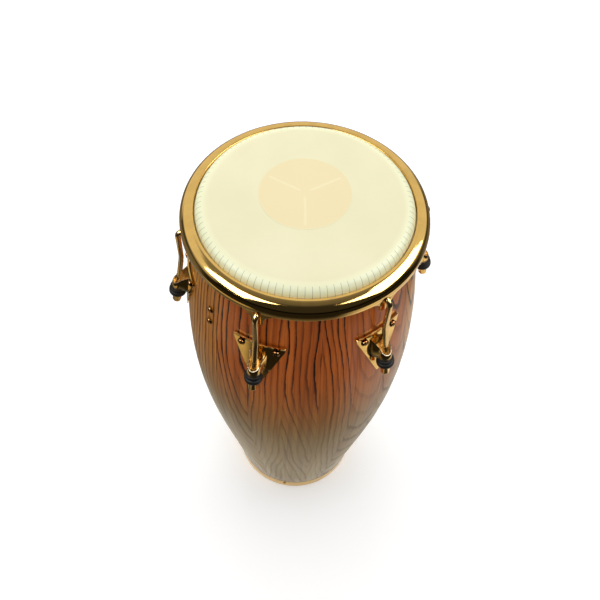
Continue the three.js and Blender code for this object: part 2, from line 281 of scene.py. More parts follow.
def turned(profile, facets=FACETS):
    """A closed surface turned about Z from [r, z] points."""
    surface = Surface()
    angles = [2 * math.pi * i / facets for i in range(facets)]
    rows = [[(r * math.cos(a), r * math.sin(a), z) for a in angles] for r, z in profile]
    surface.grid(rows, ring=True, loop=True)
    return surface


def inside(point, outline):
    """Whether a point is inside a closed outline."""
    x, y = point
    crossings = 0
    for (x0, y0), (x1, y1) in zip(outline, outline[1:] + outline[:1]):
        if (y0 > y) != (y1 > y) and x < x0 + (y - y0) * (x1 - x0) / (y1 - y0):
            crossings += 1
    return crossings % 2 == 1


def divided(outline, spacing):
    """An outline with points added so that no side is longer than the spacing."""
    out = []
    for a, b in zip(outline, outline[1:] + outline[:1]):
        steps = max(1, math.ceil(math.dist(a, b) / spacing))
        run, climb = b[0] - a[0], b[1] - a[1]
        out += [(a[0] + run * i / steps, a[1] + climb * i / steps) for i in range(steps)]
    return out


def sheet(outline, holes, spacing, front, back):
    """A plate: an outline with holes, drawn flat and put in space by its front and back functions."""
    loops = [divided(outline, spacing)] + [divided(hole, spacing) for hole in holes]
    points, edges = [], []
    for loop in loops:
        start = len(points)
        points += loop
        edges += [(start + i, start + (i + 1) % len(loop)) for i in range(len(loop))]
    edge_points = list(points)
    xs, ys = zip(*loops[0])

    def in_plate(point):
        return inside(point, loops[0]) and not any(inside(point, hole) for hole in loops[1:])

    columns = int((max(xs) - min(xs)) / spacing)
    rows = int((max(ys) - min(ys)) / spacing)
    for i in range(1, columns + 1):
        for j in range(1, rows + 1):
            spot = (min(xs) + i * spacing, min(ys) + j * spacing)
            clear = min(math.dist(spot, other) for other in edge_points)
            if in_plate(spot) and clear > 0.5 * spacing:
                points.append(spot)
    flat, _, faces, *_ = delaunay_2d_cdt([Vector(p) for p in points], edges, [], 0, 1e-6)
    kept = []
    for a, b, c in faces:
        middle = (flat[a] + flat[b] + flat[c]) / 3
        if in_plate(middle):
            turn = (flat[b] - flat[a]).cross(flat[c] - flat[a])
            kept.append((a, b, c) if turn > 0 else (a, c, b))
    sides = {(f[i], f[(i + 1) % 3]) for f in kept for i in range(3)}
    count = len(flat)
    faces = [list(f) for f in kept] + [[i + count for i in reversed(f)] for f in kept]
    faces += [[b, a, a + count, b + count] for a, b in sides if (b, a) not in sides]
    surface = Surface()
    surface.add([front(*p) for p in flat] + [back(*p) for p in flat], faces)
    return surface


def swept(stations):
    """A bar in a lug's own plane y = 0. A station is (point, direction, section points)."""
    rows = []
    for (x, z), (tx, tz), section in stations:
        rows.append([(x + out * tz, across, z - out * tx) for out, across in section])
    surface = Surface()
    surface.grid(rows, ring=True)
    return surface


# ---- The drum's own curves ----
def shell_radius(z):
    """The polynomial through the shell's stations."""
    total = 0
    for zi, ri in SHELL_STATIONS:
        term = ri
        for zj, _ in SHELL_STATIONS:
            if zj != zi:
                term *= (z - zj) / (zi - zj)
        total += term
    return total


def shell_slope(z):
    return (shell_radius(z + 1) - shell_radius(z - 1)) / 2


def heading(azimuth):
    """Turns +X to that many degrees from the front, -Y, towards +X."""
    return Matrix.Rotation(math.radians(azimuth - 90), 4, "Z")


def on_wall(radius, z, slope):
    """Stands a piece, turned about its own Z, on a wall that faces +X."""
    stand = Matrix.Rotation(math.pi / 2 + math.atan(slope), 4, "Y")
    return Matrix.Translation((radius, 0, z)) @ stand


ROD_FRAME = Matrix.Translation((SEAT_R, 0, SEAT_Z)) @ Matrix.Rotation(-LEAN, 4, "Y")
lug_headings = [heading(FIRST_LUG + 360 / LUGS * i) for i in range(LUGS)]


# ---- Materials ----
WOOD_RED = (0.49, 0.116, 0.014)
WOOD_GOLDEN = (0.64, 0.25, 0.022)
WOOD_OLIVE = (0.19, 0.122, 0.025)
# Painted reflection: pale grey that stands in for the floor mirrored in the lacquer above the foot.
WOOD_PAINTED_REFLECTION = (0.40, 0.335, 0.20)
WOOD_PORES = (0.012, 0.006, 0.004)
STAVE_PICK = 5  # which boards the staves are cut from
RING_SPACING = 0.0092  # metres between growth rings
WHITE = (1, 1, 1)
BLACK = (0, 0, 0)
GOLD_COLOR = (0.96, 0.61, 0.18)


class Look:
    """A material's node tree around one Principled shader."""

    def __init__(self, name, **uniform):
        self.material = bpy.data.materials.new(name)
        self.material.use_nodes = True
        self.tree = self.material.node_tree
        self.shader = self.tree.nodes["Principled BSDF"]
        for socket, value in uniform.items():
            self.shader.inputs[socket.replace("_", " ")].default_value = value
        self.place = self.node("ShaderNodeTexCoord").outputs["Object"]

    def node(self, kind, inputs=None, **settings):
        made = self.tree.nodes.new(kind)
        for key, value in settings.items():
            setattr(made, key, value)
        for key, value in (inputs or {}).items():
            if isinstance(value, bpy.types.NodeSocket):
                self.tree.links.new(value, made.inputs[key])
            else:
                made.inputs[key].default_value = value
        return made

    def math(self, operation, a, b=0.0):
        return self.node("ShaderNodeMath", {0: a, 1: b}, operation=operation).outputs[0]

    def plus(self, a, b):
        return self.math("ADD", a, b)

    def minus(self, a, b):
        return self.math("SUBTRACT", a, b)

    def times(self, a, b):
        return self.math("MULTIPLY", a, b)

    def smooth(self, value, low, high):
        """0 below low, 1 above high, and smooth between."""
        inputs = {"Value": value, "From Min": low, "From Max": high}
        return self.node("ShaderNodeMapRange", inputs, interpolation_type="SMOOTHSTEP").outputs[0]

    def noise(self, vector, scale, detail=3.0, roughness=0.5, distortion=0.0):
        inputs = {"Vector": vector, "Scale": scale, "Detail": detail}
        inputs |= {"Roughness": roughness, "Distortion": distortion}
        return self.node("ShaderNodeTexNoise", inputs).outputs["Fac"]

    def stretched(self, vector, x, y, z):
        inputs = {0: vector, 1: (x, y, z)}
        return self.node("ShaderNodeVectorMath", inputs, operation="MULTIPLY").outputs[0]

    def ramp(self, value, *stops):
        made = self.node("ShaderNodeValToRGB", {"Fac": value})
        elements = made.color_ramp.elements
        while len(elements) < len(stops):
            elements.new(1.0)
        for element, (position, color) in zip(elements, stops):
            element.position = position
            element.color = (*color, 1.0)
        return made.outputs["Color"]

    def mix(self, amount, a, b, blend="MIX"):
        made = self.node("ShaderNodeMix", data_type="RGBA", blend_type=blend)
        for index, value in ((0, amount), (6, a), (7, b)):
            if isinstance(value, bpy.types.NodeSocket):
                self.tree.links.new(value, made.inputs[index])
            else:
                made.inputs[index].default_value = (*value, 1.0) if index else value
        return made.outputs[2]

    def bump(self, height, distance, strength=1.0):
        inputs = {"Height": height, "Distance": distance, "Strength": strength}
        self.to("Normal", self.node("ShaderNodeBump", inputs).outputs[0])

    def to(self, socket, value):
        self.tree.links.new(value, self.shader.inputs[socket])

    def split(self, vector):
        return self.node("ShaderNodeSeparateXYZ", {0: vector}).outputs

    def from_axis(self):
        """Distance from the drum's axis, in metres."""
        flat = self.stretched(self.place, 1, 1, 0)
        return self.node("ShaderNodeVectorMath", {0: flat}, operation="LENGTH").outputs["Value"]


def wood_look():
    """Ash staves under lacquer. The growth rings are cut flat, so that they nest in arches."""
    lacquer = {"Coat_Weight": 0.42, "Coat_Roughness": 0.07, "Coat_IOR": 1.45}
    look = Look("ash_lacquer", Specular_IOR_Level=0.05, **lacquer)
    grain = look.node("ShaderNodeAttribute", attribute_name="grain").outputs["Vector"]
    across, along, stave = look.split(grain)
    picked = look.plus(stave, STAVE_PICK)
    chance = look.node("ShaderNodeTexWhiteNoise", {"W": picked}, noise_dimensions="1D").outputs["Color"]
    first, second, third = look.split(chance)
    own = look.node("ShaderNodeCombineXYZ", {0: across, 1: along, 2: look.times(picked, 3.7)}).outputs[0]

    # The pith lies behind the board and off to a side, and draws nearer up the board.
    wander = look.minus(look.noise(look.stretched(own, 4, 2.4, 1), 1.0, detail=2.0), 0.5)
    shift = look.times(look.math("POWER", look.minus(first, 0.5), 3.0), 1.1)
    side = look.plus(across, look.plus(shift, look.times(wander, 0.055)))
    tilt = look.times(look.minus(look.plus(0.72, look.times(second, 0.12)), along), 0.15)
    reach = look.math("SQRT", look.plus(look.math("POWER", side, 2.0), look.math("POWER", tilt, 2.0)))
    ripple = look.noise(look.stretched(own, 60, 10, 1), 1.0, detail=4.0, roughness=0.62)
    ragged = look.noise(look.stretched(own, 420, 95, 1), 1.0, detail=3.0, roughness=0.7)
    reach = look.plus(reach, look.plus(look.times(ripple, 0.008), look.times(ragged, 0.0011)))
    rings = look.math("DIVIDE", reach, RING_SPACING)
    ring = look.math("FRACT", rings)
    number = look.plus(look.math("FLOOR", rings), look.times(picked, 31.0))
    year = look.node("ShaderNodeTexWhiteNoise", {"W": number}, noise_dimensions="1D").outputs["Value"]
    growth = look.noise(look.stretched(own, 9, 2.2, 1), 1.0, detail=1.0)
    pale, faint = (0.97, 0.97, 0.97), (0.3, 0.3, 0.3)
    stops = [(0.0, WHITE), (0.15, pale), (0.26, faint), (0.5, BLACK), (0.95, BLACK), (1.0, WHITE)]
    vigour = look.smooth(look.plus(growth, look.times(year, 0.8)), 0.55, 1.0)
    strength = look.plus(0.3, look.times(vigour, 0.7))
    porous = look.times(look.ramp(ring, *stops), strength)

    pores = look.smooth(look.noise(look.stretched(own, 1100, 26, 1), 1.0, roughness=0.7), 0.55, 0.72)
    streaks = look.noise(look.stretched(own, 260, 3.5, 1), 1.0)

    # Red-brown where the front lugs are and again behind, golden between, greyer towards the foot, and
    # pale grey just above the foot as a painted reflection of the floor in the lacquer.
    x, y, z = look.split(look.place)
    turn = look.math("ARCTAN2", x, look.times(y, -1.0))
    golden = look.minus(0.5, look.times(look.math("COSINE", look.times(turn, 2.0)), 0.5))
    golden = look.plus(golden, look.times(look.minus(third, 0.5), 0.35))
    body = look.mix(look.smooth(golden, 0.3, 0.95), WOOD_RED, WOOD_GOLDEN)
    low = look.smooth(z, 0.62, 0.34)
    body = look.mix(look.times(low, 0.9), body, WOOD_OLIVE)
    # Painted reflection: pale grey just above the foot, for the floor mirrored in the lacquer.
    body = look.mix(look.times(look.smooth(z, 0.3, 0.04), 0.75), body, WOOD_PAINTED_REFLECTION)
    streak = look.times(look.smooth(streaks, 0.35, 0.75), 0.5)
    body = look.mix(streak, body, (0.45, 0.25, 0.15), "MULTIPLY")
    band = look.noise(look.stretched(own, 38, 2.2, 1), 1.0, detail=2.0)
    shade = look.times(look.smooth(band, 0.42, 0.68), 0.45)
    body = look.mix(shade, body, (0.5, 0.38, 0.3), "MULTIPLY")
    contrast = look.minus(1.0, look.times(low, 0.68))
    dark = look.times(look.math("MAXIMUM", porous, look.times(pores, 0.3)), contrast)
    look.to("Base Color", look.mix(dark, body, WOOD_PORES))
    look.to("Roughness", look.plus(0.35, look.times(porous, 0.15)))
    look.bump(look.plus(look.times(pores, -0.4), look.times(porous, -0.6)), 0.0001, 0.4)
    return look.material


def head_look():
    """Cream film with a matt coat, darker in its middle disc and greener down its pleated collar, which
    is painted paler against its shade and carries painted shade in its pleats.
    """
    look = Look("cream_film", Specular_IOR_Level=0.35, Coat_Weight=0.15, Coat_Roughness=0.3)
    radius = look.from_axis()
    pleat = look.node("ShaderNodeAttribute", attribute_name="pleat").outputs["Fac"]
    ridge = look.node("ShaderNodeAttribute", attribute_name="ridge").outputs["Fac"]
    cloud = look.noise(look.place, 9.0, detail=4.0)
    film = look.mix(look.smooth(cloud, 0.3, 0.7), (0.77, 0.73, 0.465), (0.81, 0.77, 0.51))
    # The collar's green tint is the film's own; its extra paleness is painted light, making up for the
    # shade on the shoulder.
    edge = look.smooth(radius, (HEAD_R - 20) * MM, (HEAD_R - 4) * MM)
    film = look.mix(edge, film, (0.90, 0.92, 0.62))
    disc = look.node("ShaderNodeAttribute", attribute_name="disc").outputs["Fac"]
    film = look.mix(look.times(disc, 0.75), film, (0.82, 0.68, 0.38))
    film = look.mix(look.times(ridge, 0.3), film, (0.93, 0.88, 0.64))
    # Painted shade: dark green lines along the creases of the pleats.
    pleat_shade = look.times(look.smooth(pleat, 0.62, 1.0), 0.62)
    look.to("Base Color", look.mix(pleat_shade, film, (0.10, 0.13, 0.08)))
    grit = look.noise(look.place, 2600.0, detail=2.0)
    look.to("Roughness", look.plus(0.42, look.times(cloud, 0.16)))
    look.bump(grit, 0.00004, 0.5)
    return look.material


def gold_look(name, color, roughness, smudge=0.08):
    """Plated steel, polished, with faint smudges and hairlines. Pockets are paler and unpolished."""
    look = Look(name, Metallic=1.0)
    smudges = look.noise(look.place, 45.0, detail=4.0, roughness=0.6)
    tone = look.mix(look.smooth(smudges, 0.35, 0.7), color, tuple(0.9 * c for c in color))
    pocket = look.node("ShaderNodeAttribute", attribute_name="pocket").outputs["Fac"]
    look.to("Base Color", look.mix(pocket, tone, (0.66, 0.56, 0.40)))
    polish = look.plus(roughness, look.times(look.smooth(smudges, 0.4, 0.8), smudge))
    look.to("Roughness", look.plus(polish, look.times(pocket, 0.22)))
    hairlines = look.noise(look.stretched(look.place, 300, 300, 2200), 1.0, detail=2.0)
    look.bump(hairlines, 0.00001, 0.25)
    return look.material


def rubber_look(name):
    look = Look(name, Specular_IOR_Level=0.22)
    bloom = look.noise(look.place, 60.0, detail=4.0)
    tone = look.mix(look.smooth(bloom, 0.3, 0.75), (0.006, 0.0055, 0.005), (0.014, 0.0135, 0.013))
    look.to("Base Color", tone)
    look.to("Roughness", look.plus(0.38, look.times(bloom, 0.25)))
    look.bump(look.noise(look.place, 1800.0, detail=2.0), 0.00005, 0.5)
    return look.material


def zinc_look():
    """Zinc plate, with the grain of rolled steel."""
    look = Look("zinc_steel", Metallic=1.0)
    spangle = look.noise(look.place, 180.0, detail=3.0)
    look.to("Base Color", look.mix(spangle, (0.42, 0.42, 0.41), (0.62, 0.62, 0.60)))
    rolled = look.noise(look.stretched(look.place, 1500, 1500, 90), 1.0)
    look.to("Roughness", look.plus(0.32, look.times(rolled, 0.2)))
    look.bump(rolled, 0.00003, 0.4)
    return look.material


def floor_look():
    look = Look("white_floor", Roughness=0.9, Specular_IOR_Level=0.1, Emission_Strength=0.2)
    cloud = look.noise(look.place, 1.5, detail=2.0)
    look.shader.inputs["Emission Color"].default_value = (1, 1, 1, 1)
    look.to("Base Color", look.mix(cloud, (0.96, 0.96, 0.96), (0.97, 0.97, 0.97)))
    return look.material


def cloth_look():
    """Cloth, near white round the foot and dark further out, but paler to the left and right."""
    look = Look("grey_cloth", Roughness=1.0, Specular_IOR_Level=0.0)
    x, y, _ = look.split(look.place)
    away = look.from_axis()
    turn = look.math("ARCTAN2", x, look.times(y, -1.0))  # from the front, -Y, towards +X
    left = look.smooth(turn, math.radians(-46), math.radians(-58))
    right = look.smooth(turn, math.radians(16), math.radians(50))
    behind = look.smooth(look.math("ABSOLUTE", turn), math.radians(86), math.radians(104))
    weave = look.noise(look.place, 300.0)
    dark = look.mix(weave, (0.012, 0.011, 0.01), (0.022, 0.02, 0.018))
    white, grey = (1.0, 0.95, 0.80), (0.34, 0.315, 0.25)
    tan, dim = (0.52, 0.45, 0.30), (0.16, 0.15, 0.13)
    near = look.mix(look.smooth(away, 0.14, 0.36), white, grey)

    # The side plates mirror this belt. The rim's side mirrors the dark cloth inside it.
    belt = look.times(look.smooth(away, 0.60, 0.68), look.smooth(away, 1.02, 0.88))
    far = look.mix(behind, look.mix(look.times(left, belt), dark, tan), dim)
    cloth = look.mix(look.smooth(away, 0.28, 0.72), near, far)
    close = look.smooth(away, 0.75, 0.55)
    beside = look.times(belt, look.minus(1.0, behind))
    right = look.times(right, look.math("MAXIMUM", close, beside))
    look.to("Base Color", look.mix(right, cloth, (0.85, 0.80, 0.70)))
    return look.material


wood = wood_look()
film = head_look()
gold = gold_look("gold_plate", GOLD_COLOR, 0.055)
satin_gold = gold_look("gold_band", (0.68, 0.44, 0.13), 0.22, smudge=0.12)
hook_gold = gold_look("gold_hooks", (0.95, 0.64, 0.27), 0.2)
dark_gold = gold_look("gold_bolts", (0.36, 0.19, 0.07), 0.14)
rubber = rubber_look("black_rubber")
foot_rubber = rubber_look("black_foot_rubber")
zinc = zinc_look()


def break_edges(obj, width, segments):
    """Rounds an object's sharp edges, by a width in millimetres."""
    edges = obj.modifiers.new("edges", "BEVEL")
    edges.width = width * MM
    edges.segments = segments
    edges.limit_method = "ANGLE"
    edges.angle_limit = math.radians(50)


def piece(name, mesh, look, body, slot, nodes, matrix=None, bevel=0.0, sharp=40):
    """Puts a mesh in the scene as a piece that rides on a body and stands for CAD nodes."""
    if not mesh.materials:
        mesh.materials.append(look)
        mesh.shade_smooth()
        mesh.set_sharp_from_angle(angle=math.radians(sharp))
    obj = bpy.data.objects.new(name, mesh)
    bpy.context.scene.collection.objects.link(obj)
    if matrix:
        obj.matrix_world = matrix
    if bevel:
        break_edges(obj, bevel, 3)
    bpy.context.view_layer.update()
    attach(obj, body)
    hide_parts(*nodes)
    return obj


# ---- Shell ----
def rebate(z):
    """The staves are cut back behind the foot band."""
    return BAND_R - BAND_WALL - GAP + BAND_FLARE * z


def shell_outside():
    """[r, z] up the outside of a stave and over the bearing edge."""
    foot, shoulder = FOOT + GAP, BAND_TOP + GAP
    rows = 60
    broken = 0.7
    up = [(rebate(foot), foot), (rebate(BAND_TOP) - 0.2, BAND_TOP)]
    up.append((shell_radius(shoulder) - broken, shoulder))
    for i in range(1, rows + 1):
        z = shoulder + (NECK_Z - BAND_TOP - GAP) * i / rows
        up.append((shell_radius(z), z))
    return up + BEARING_EDGE


def shell_inside(z):
    """The point across the wall from the outside at a height."""
    if z <= NECK_Z:
        return (shell_radius(z) - STAVE, z)
    lip = SHELL_TOP - 3
    t = min((z - NECK_Z) / (lip - NECK_Z), 1)
    return (shell_radius(NECK_Z) - STAVE - LIP_IN * t, min(z, lip))


def staves():
    """Each stave is its own closed bar, with its long edges just broken, glued to the next."""
    outer = shell_outside()
    inner = [shell_inside(z) for _, z in outer]
    steps = 6
    near_edge = 0.03  # share of the stave's width
    width = 2 * math.pi / STAVES
    surface = Surface()
    for k in range(STAVES):
        columns, grains = [], []
        for j in range(steps + 1):
            share = j / steps
            edge = j in (0, steps)
            if j in (1, steps - 1):
                share = near_edge if j == 1 else 1 - near_edge
            column, grain = [], []
            for side, ease, gap in ((outer, BROKEN_EDGE, SEAM), (reversed(inner), 0, JOINT)):
                for r, z in side:
                    inset = gap / r if j == 0 else -gap / r if j == steps else 0
                    angle = (k + share) * width + inset
                    r -= ease if edge and z > BAND_TOP else 0
                    column.append((r * math.cos(angle), r * math.sin(angle), z))
                    across = (share - 0.5) * width * r
                    grain.append(Vector((across * MM, z * MM, k + 0.5)))
            columns.append(column)
            grains.append(grain)
        surface.grid(columns, ring=True, grain=grains)
        last = 2 * len(outer) - 1
        for column, grain in ((columns[0], grains[0]), (columns[-1], grains[-1])):
            faces = [[i, i + 1, last - i - 1, last - i] for i in range(len(outer) - 1)]
            surface.add(list(column), faces, grain=grain)
    return surface


piece("stave_shell", staves().mesh("stave_shell"), wood, "root", "stave_wood", ["shell"], sharp=30)


# ---- Head ----
def film_sheet():
    """The film, with its rounded shoulder and pleated collar, closed by an inner skin."""
    columns = PLEATS * 6
    centre = (HEAD_R - HEAD_SHOULDER, HEIGHT - HEAD_SHOULDER)
    face = HEIGHT - DISC_RISE
    top = [(r, face) for r in (0.01, 40, 80, 110, 125)]
    bend = arc(centre, HEAD_SHOULDER, 90, 0, 8)
    shoulder = [(r, z - DISC_RISE * (1 - i / 8)) for i, (r, z) in enumerate(bend)]
    collar = [(HEAD_R, z) for z in (HEIGHT - 18, HEIGHT - 21, FLANGE_Z + FILM + 0.8)]
    flange = [(HEAD_R + 0.8, FLANGE_Z + FILM), (FLANGE_R, FLANGE_Z + FILM), (FLANGE_R, FLANGE_Z)]
    skin = [(r, z - DISC_RISE) for r, z in arc(centre, HEAD_SHOULDER - FILM, 0, 90, 6)]
    under = [(HEAD_R - FILM, FLANGE_Z)] + skin + [(0.01, face - FILM)]
    profile = top + shoulder + collar + flange + under
    pleated = range(len(top) + 2, len(top) + len(shoulder) + len(collar))
    inward, downward = 0.2, 0.1  # depth of a pleat
    angles = [2 * math.pi * j / columns for j in range(columns)]
    rows, pleats = [], []
    for i, (r, z) in enumerate(profile):
        row = []
        folds = [1.0 if j % 6 == 0 and i in pleated else 0.0 for j in range(columns)]
        for a, fold in zip(angles, folds):
            reach = r - inward * fold
            row.append((reach * math.cos(a), reach * math.sin(a), z - downward * fold))
        rows.append(row)
        pleats.append(folds)
    surface = Surface()
    surface.grid(rows, ring=True, pleat=pleats)
    surface.add([(0, 0, face), (0, 0, face - FILM)], [])
    tip, base, last = len(surface.points) - 2, len(surface.points) - 1, (len(rows) - 1) * columns
    for j in range(columns):
        k = (j + 1) % columns
        surface.faces += [[tip, j, k], [base, last + k, last + j]]
    return surface


def add_disc(surface):
    """A thin disc on the film, with three low ridges from its middle."""
    columns = 240
    ridges = [math.radians(a - 90) for a in DISC_RIDGES]
    ridge_half, ridge_rise = 1.6, 0.14
    feather = 2.4  # over which its colour fades in from the edge
    reaches = [0.01] + [5 * i for i in range(1, 12)]
    reaches += [DISC_R - 6, DISC_R - feather, DISC_R - feather / 2, DISC_R - 0.4]
    rows, colors, lifts = [], [], []
    for i, r in enumerate(reaches + [DISC_R, DISC_R, 0.01]):
        depth = (0, 0.1, 2 * DISC_RISE, 2 * DISC_RISE)[max(0, i - len(reaches) + 1)]
        row, lift = [], []
        for j in range(columns):
            a = 2 * math.pi * j / columns
            away = min(abs(math.remainder(a - ridge, 2 * math.pi)) for ridge in ridges) * r
            high = math.exp(-((away / ridge_half) ** 2)) if 5 < r < DISC_R - 6 else 0.0
            rise = ridge_rise * high - depth
            row.append(DISC_MIDDLE + Vector((r * math.cos(a), r * math.sin(a), rise)))
            lift.append(high)
        rows.append(row)
        lifts.append(lift)
        colors.append([min(1.0, max(0.0, (DISC_R - r) / feather))] * columns)
    surface.grid(rows, ring=True, disc=colors, ridge=lifts)
    bottom = len(surface.points) - columns
    top = len(surface.points) - len(rows) * columns
    surface.faces += [list(range(top, top + columns)), list(range(bottom, bottom + columns))]
    return surface


head_mesh = add_disc(film_sheet()).mesh("film_head")
piece("film_head", head_mesh, film, "root", "head_film", ["head_film"], sharp=50)


# ---- Rim ----
def ear_outline():
    """Half-widths swell into the rim on both sides of the hole, as (across, height)."""
    low = RIM_LOW
    right = [(EAR_HALF - 0.1, low - 22.5), (EAR_HALF, low - 17)]
    start, pull, end = Vector(right[-1]), Vector((12, low - 5)), Vector((EAR_SWOOP, low + 1))
    for i in range(1, 11):
        t = i / 10
        right.append(tuple(start * (1 - t) ** 2 + pull * 2 * t * (1 - t) + end * t * t))
    right.append((EAR_SWOOP, low + 4.6))
    half = arc((5.3, low - 23), 4, -90, 0, 4) + right
    return [(-x, z) for x, z in reversed(half)] + half


def rim():
    """A rolled rim, with an ear on its skirt for each hook."""
    foot = FLANGE_Z + FILM + GAP
    skirt = RIM_R - RIM_WALL
    section = [
        (RIM_IN + 3.2, foot),
        (RIM_IN + 3.4, foot + 8.4),
        (158.2, foot + 8.9),
        (164.2, foot + 4.6),
        (skirt, RIM_LOW + 6),
        (skirt, RIM_LOW),
        (RIM_R, RIM_LOW),
        (RIM_R, RIM_LOW + 9),
        (169.6, RIM_LOW + 15),
        (164.2, RIM_LOW + 20.9),
        (156.6, RIM_LOW + 23),
        (RIM_IN + 0.6, RIM_LOW + 22.7),
        (RIM_IN, RIM_LOW + 20.6),
        (RIM_IN, foot),
    ]
    radii = [0.6, 1.2, 3, 5, 3, 1.2, 1.2, 14, 12, 12, 9, 0.9, 0.9, 1]
    surface = turned(rounded(section, radii, 6))
    hole = arc((0, EAR_HOLE_Z), EAR_HOLE_R, 0, 345, 23)

    def at(radius):
        return lambda y, z: (math.sqrt(radius**2 - y**2), y, z)

    for turn in lug_headings:
        ear = sheet(ear_outline(), [hole], 3.0, at(EAR_R), at(EAR_R - EAR_WALL))
        surface.join(ear.placed(turn))
    return surface


piece("rolled_rim", rim().mesh("rolled_rim"), gold, "rim", "gold_metal", ["rim"], bevel=0.6)


# ---- Foot ----
def foot_band():
    """A flared band with eased edges."""
    def outer(z):
        return BAND_R + BAND_FLARE * z

    section = [
        (outer(BAND_LOW) - BAND_WALL, BAND_LOW),
        (outer(BAND_LOW), BAND_LOW),
        (outer(BAND_LOW + 3), BAND_LOW + 3),
        (outer(BAND_TOP - 3), BAND_TOP - 3),
        (outer(BAND_TOP), BAND_TOP),
        (outer(BAND_TOP) - BAND_WALL, BAND_TOP),
    ]
    return turned(rounded(section, 0.6, 3))


def foot_ring():
    """The rubber ring that the drum stands on."""
    outer = BAND_R - BAND_WALL - GAP
    inner = shell_radius(0) - STAVE + 0.6
    section = [(inner, 0), (outer - 0.4, 0), (outer, 0.8), (outer, FOOT), (inner, FOOT)]
    return turned(rounded(section, 0.5, 3))


band_mesh = foot_band().mesh("foot_hoop")
ring_mesh = foot_ring().mesh("foot_cushion")
piece("foot_hoop", band_mesh, satin_gold, "root", "foot_metal", ["foot_band"])
piece("foot_cushion", ring_mesh, foot_rubber, "root", "foot_rubber", ["foot_ring"])


# ---- Bolts and screws ----
def flats(half, angle):
    """Radius of a hexagon at an angle, from half its width across flats."""
    return half / math.cos(angle % (math.pi / 3) - math.pi / 6)


def turned_rows(rows, angles):
    """Rows of [r, z] points, one for each angle, put round Z."""
    return [[(r * math.cos(a), r * math.sin(a), z) for (r, z), a in zip(row, angles)] for row in rows]


def screw(shank, head, seat, length, socket):
    """A domed head with a six-sided socket, turned about Z with the wall's surface at z = 0."""
    facets = 36
    rise = head * 0.6
    deep = seat + rise * 0.35
    turn = [2 * math.pi * j / facets for j in range(facets)]
    outside = [(0, -length), (shank - 0.4, -length), (shank, -length + 0.5), (shank, seat), (head, seat)]
    for i in range(7):
        a = math.radians(90 * i / 8)
        outside.append((head * math.cos(a), seat + rise * (0.25 + 0.75 * math.sin(a))))
    hexagon = [flats(socket, a) * math.cos(math.pi / 6) for a in turn]
    rows = [[(r, z)] * facets for r, z in outside]
    rows.append([(r * 1.08, seat + rise * 0.99) for r in hexagon])
    rows.append([(r, seat + rise * 0.95) for r in hexagon])
    rows.append([(r, deep) for r in hexagon])
    rows.append([(0, deep - 0.3)] * facets)
    surface = Surface()
    surface.grid(turned_rows(rows, turn), ring=True)
    return surface


bolt_seat, brace_seat = GAP + PLATE + 0.1, 0.2
plate_bolt = screw(BOLT_R, BOLT_HEAD, bolt_seat, BOLT_DEPTH, BOLT_SOCKET)
brace_bolt = screw(BOLT_R, BOLT_HEAD, brace_seat, BOLT_DEPTH, BOLT_SOCKET)
band_screw = screw(BAND_SCREW_R, BAND_SCREW_HEAD, GAP, BAND_SCREW_DEPTH, BAND_SCREW_SOCKET)
plate_screw = plate_bolt.mesh("plate_screw")
brace_screw = brace_bolt.mesh("brace_screw")
small_screw = band_screw.mesh("small_screw")

for i in range(2):
    z = BRACE_Z + (0.5 - i) * BRACE_SPACING
    place = heading(BRACE_AZIMUTH) @ on_wall(shell_radius(z) * MM, z * MM, -shell_slope(z))
    node = f"brace_bolt_{i + 1}"
    piece(f"brace_screw_{i + 1}", brace_screw, dark_gold, "root", "dark_gold", [node], place)
for i in range(BAND_SCREWS):
    wall = on_wall((BAND_R + BAND_FLARE * BAND_SCREW_Z) * MM, BAND_SCREW_Z * MM, -BAND_FLARE)
    place = heading(BAND_SCREW_FROM + 360 / BAND_SCREWS * i) @ wall
    node = f"band_screw_{i + 1}"
    piece(f"hoop_screw_{i + 1}", small_screw, dark_gold, "root", "dark_gold", [node], place)


# ---- Lug pieces, each in a lug's own frame: +X outwards, +Z up ----
def lip(z):
    """How far the plate's top edge rolls out."""
    t = min(max((z - (PLATE_TOP - LIP_DEPTH)) / LIP_DEPTH, 0), 1)
    return LIP * t * t


def side_plate():
    """A triangular plate that lies on the shell, with a rolled top edge and its pocket."""
    corners = [
        (-PLATE_HALF, PLATE_TOP),
        (-PLATE_HALF, PLATE_TOP - 5),
        (0, PLATE_APEX - 3),
        (PLATE_HALF, PLATE_TOP - 5),
        (PLATE_HALF, PLATE_TOP),
    ]
    outline = rounded(corners, 3.0, 4)
    across = shell_radius(BOLT_Z) * math.sin(math.radians(BOLT_ANGLE))
    holes = [arc((side * across, BOLT_Z), BOLT_HOLE, 0, 340, 17) for side in (-1, 1)]

    def skin(offset):
        return lambda y, z: (math.sqrt((shell_radius(z) + offset + lip(z)) ** 2 - y * y), y, z)

    plate = sheet(outline, holes, 2.6, skin(GAP + PLATE), skin(GAP + 0.5))
    return plate.join(pocket().placed(ROD_FRAME))


def pocket_path(nose, half):
    """Round a pocket's wall from the plate, past the nose and back, as (out, across)."""
    return [(-POCKET_REACH, -half)] + arc((0, 0), nose, -103, 103, 20) + [(-POCKET_REACH, half)]


def pocket_top(out):
    """The pocket's edge slopes down from the plate to its nose."""
    return min(POCKET_HEIGHT, POCKET_HEIGHT - (out + 12) * 27 / 24)


